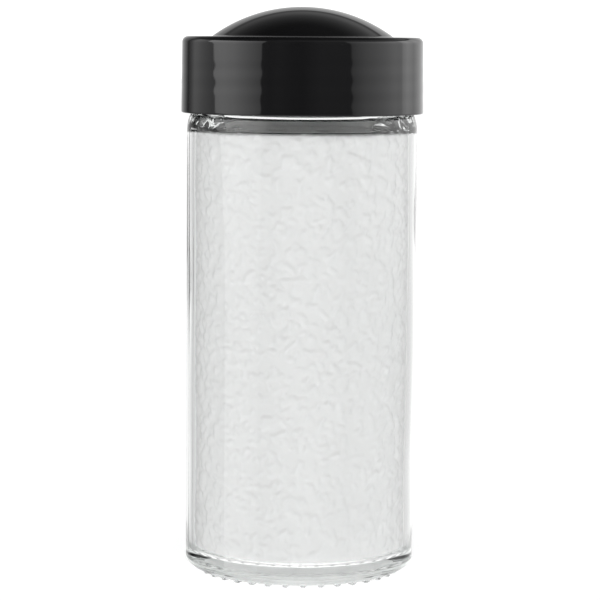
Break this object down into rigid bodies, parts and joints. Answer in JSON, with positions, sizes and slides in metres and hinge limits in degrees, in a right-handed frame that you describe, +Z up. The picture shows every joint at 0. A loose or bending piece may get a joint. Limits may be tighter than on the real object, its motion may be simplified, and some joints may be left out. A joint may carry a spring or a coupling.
{
  "type": "salt shaker jar",
  "caption": "Clear round glass salt shaker: coarse salt in a straight-walled jar, a perforated insert in its neck and a glossy black domed screw cap.",
  "frame": {"origin": "on the surface the jar stands on, at the jar's axis", "axes": "+Z up along the jar's axis; -Y towards the front"},
  "size_m": [0.0504, 0.0504, 0.1182],
  "materials": {
    "jar_glass": "clear polished soda-lime glass with a faint green tint",
    "coarse_salt": "loose translucent white crystals",
    "white_insert_plastic": "satin moulded polyethylene",
    "liner_foam": "matt foamed polyethylene sheet",
    "black_cap_plastic": "high gloss moulded polypropylene"
  },
  "bodies": {
    "jar": {"glass_jar": "jar_glass", "shaker_insert": "white_insert_plastic", "salt": "coarse_salt"},
    "liner": {"cap_liner": "liner_foam"},
    "cap": {"screw_cap": "black_cap_plastic"}
  },
  "joints": [
    {"name": "cap_rise", "type": "slide", "parent": "jar", "child": "liner", "axis": [0, 0, 1], "range_m": [0, 0.021]},
    {"name": "cap_turn", "type": "hinge", "parent": "liner", "child": "cap", "pos_m": [0, 0, 0.104], "axis": [0, 0, 1], "range_deg": [0, 2160]}
  ],
  "couplings": [
    {"joint": "cap_rise", "follows": "cap_turn", "m_per_rad": 0.00055704}
  ]
}
